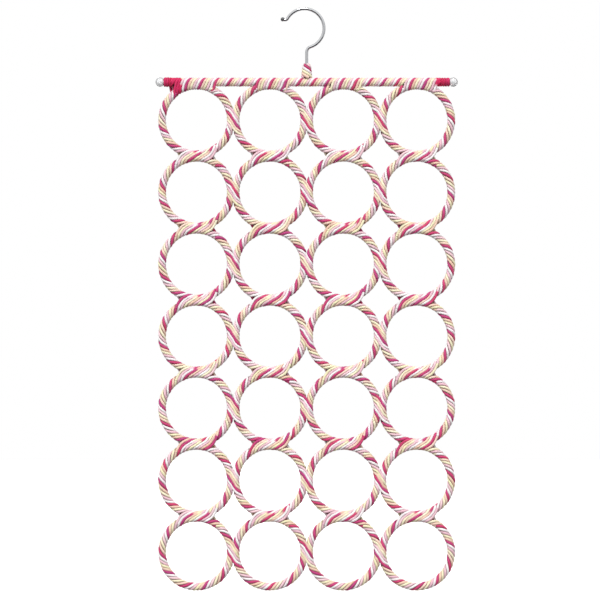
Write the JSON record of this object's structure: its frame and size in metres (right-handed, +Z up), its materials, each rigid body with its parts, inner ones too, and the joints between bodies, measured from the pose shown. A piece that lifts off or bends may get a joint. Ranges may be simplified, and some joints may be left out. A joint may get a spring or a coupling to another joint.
{
  "type": "scarf hanger",
  "caption": "Hanging net of cord-wound rings lashed under a corded rod, with a swivelling steel hook, that stores scarves, ties and belts.",
  "frame": {"origin": "on the stem's axis, at the inner top of the hook's bend where it sits on a rail", "axes": "+Z up along the stem, +X to the right along the rod seen from the front, front faces -Y"},
  "size_m": [0.38, 0.0144, 0.7338],
  "materials": {
    "hook_steel": "bright plated wire",
    "cap_rubber": "dark dipped tip",
    "rod_steel": "white coated rod",
    "ball_clear": "clear moulded ball",
    "ferrule_plastic": "plain moulded ferrule",
    "core_cane": "bent cane hoop",
    "cord_mixed": "soft cord in magenta, pink, white, cream and peach strands",
    "cord_magenta": "plain magenta cord"
  },
  "bodies": {
    "hook": {"hook_wire": "hook_steel", "hook_cap": "cap_rubber"},
    "bar": {"rod": "rod_steel", "stem_ferrule": "ferrule_plastic", "collar_winding": "cord_mixed", "rod_winding": "cord_mixed", "end_ball_left": "ball_clear", "end_ball_right": "ball_clear", "end_binding_left": "cord_magenta", "end_binding_right": "cord_magenta", "rod_lashings": "cord_mixed"},
    "row_1": {"row_1_cores": "core_cane", "ring_1a_winding": "cord_mixed", "ring_1b_winding": "cord_mixed", "ring_1c_winding": "cord_mixed", "ring_1d_winding": "cord_mixed", "row_1_side_lashings": "cord_mixed", "fold_lashings_1_2": "cord_mixed"},
    "row_2": {"row_2_cores": "core_cane", "ring_2a_winding": "cord_mixed", "ring_2b_winding": "cord_mixed", "ring_2c_winding": "cord_mixed", "ring_2d_winding": "cord_mixed", "row_2_side_lashings": "cord_mixed", "fold_lashings_2_3": "cord_mixed"},
    "row_3": {"row_3_cores": "core_cane", "ring_3a_winding": "cord_mixed", "ring_3b_winding": "cord_mixed", "ring_3c_winding": "cord_mixed", "ring_3d_winding": "cord_mixed", "row_3_side_lashings": "cord_mixed", "fold_lashings_3_4": "cord_mixed"},
    "row_4": {"row_4_cores": "core_cane", "ring_4a_winding": "cord_mixed", "ring_4b_winding": "cord_mixed", "ring_4c_winding": "cord_mixed", "ring_4d_winding": "cord_mixed", "row_4_side_lashings": "cord_mixed", "fold_lashings_4_5": "cord_mixed"},
    "row_5": {"row_5_cores": "core_cane", "ring_5a_winding": "cord_mixed", "ring_5b_winding": "cord_mixed", "ring_5c_winding": "cord_mixed", "ring_5d_winding": "cord_mixed", "row_5_side_lashings": "cord_mixed", "fold_lashings_5_6": "cord_mixed"},
    "row_6": {"row_6_cores": "core_cane", "ring_6a_winding": "cord_mixed", "ring_6b_winding": "cord_mixed", "ring_6c_winding": "cord_mixed", "ring_6d_winding": "cord_mixed", "row_6_side_lashings": "cord_mixed", "fold_lashings_6_7": "cord_mixed"},
    "row_7": {"row_7_cores": "core_cane", "ring_7a_winding": "cord_mixed", "ring_7b_winding": "cord_mixed", "ring_7c_winding": "cord_mixed", "ring_7d_winding": "cord_mixed", "row_7_side_lashings": "cord_mixed"}
  },
  "joints": [
    {"name": "hook_swivel", "type": "hinge", "parent": "hook", "child": "bar", "pos_m": [0, 0, -0.09023], "axis": [0, 0, 1], "continuous": true},
    {"name": "fold_1", "type": "hinge", "parent": "bar", "child": "row_1", "pos_m": [0, 0, -0.09023], "axis": [-1, 0, 0], "range_deg": [-90, 90], "deforming": ["rod_lashings"]},
    {"name": "fold_2", "type": "hinge", "parent": "row_1", "child": "row_2", "pos_m": [0, 0, -0.18128], "axis": [1, 0, 0], "range_deg": [-90, 90], "deforming": ["fold_lashings_1_2"]},
    {"name": "fold_3", "type": "hinge", "parent": "row_2", "child": "row_3", "pos_m": [0, 0, -0.27188], "axis": [-1, 0, 0], "range_deg": [-90, 90], "deforming": ["fold_lashings_2_3"]},
    {"name": "fold_4", "type": "hinge", "parent": "row_3", "child": "row_4", "pos_m": [0, 0, -0.36248], "axis": [1, 0, 0], "range_deg": [-90, 90], "deforming": ["fold_lashings_3_4"]},
    {"name": "fold_5", "type": "hinge", "parent": "row_4", "child": "row_5", "pos_m": [0, 0, -0.45308], "axis": [-1, 0, 0], "range_deg": [-90, 90], "deforming": ["fold_lashings_4_5"]},
    {"name": "fold_6", "type": "hinge", "parent": "row_5", "child": "row_6", "pos_m": [0, 0, -0.54368], "axis": [1, 0, 0], "range_deg": [-90, 90], "deforming": ["fold_lashings_5_6"]},
    {"name": "fold_7", "type": "hinge", "parent": "row_6", "child": "row_7", "pos_m": [0, 0, -0.63428], "axis": [-1, 0, 0], "range_deg": [-90, 90], "deforming": ["fold_lashings_6_7"]}
  ]
}
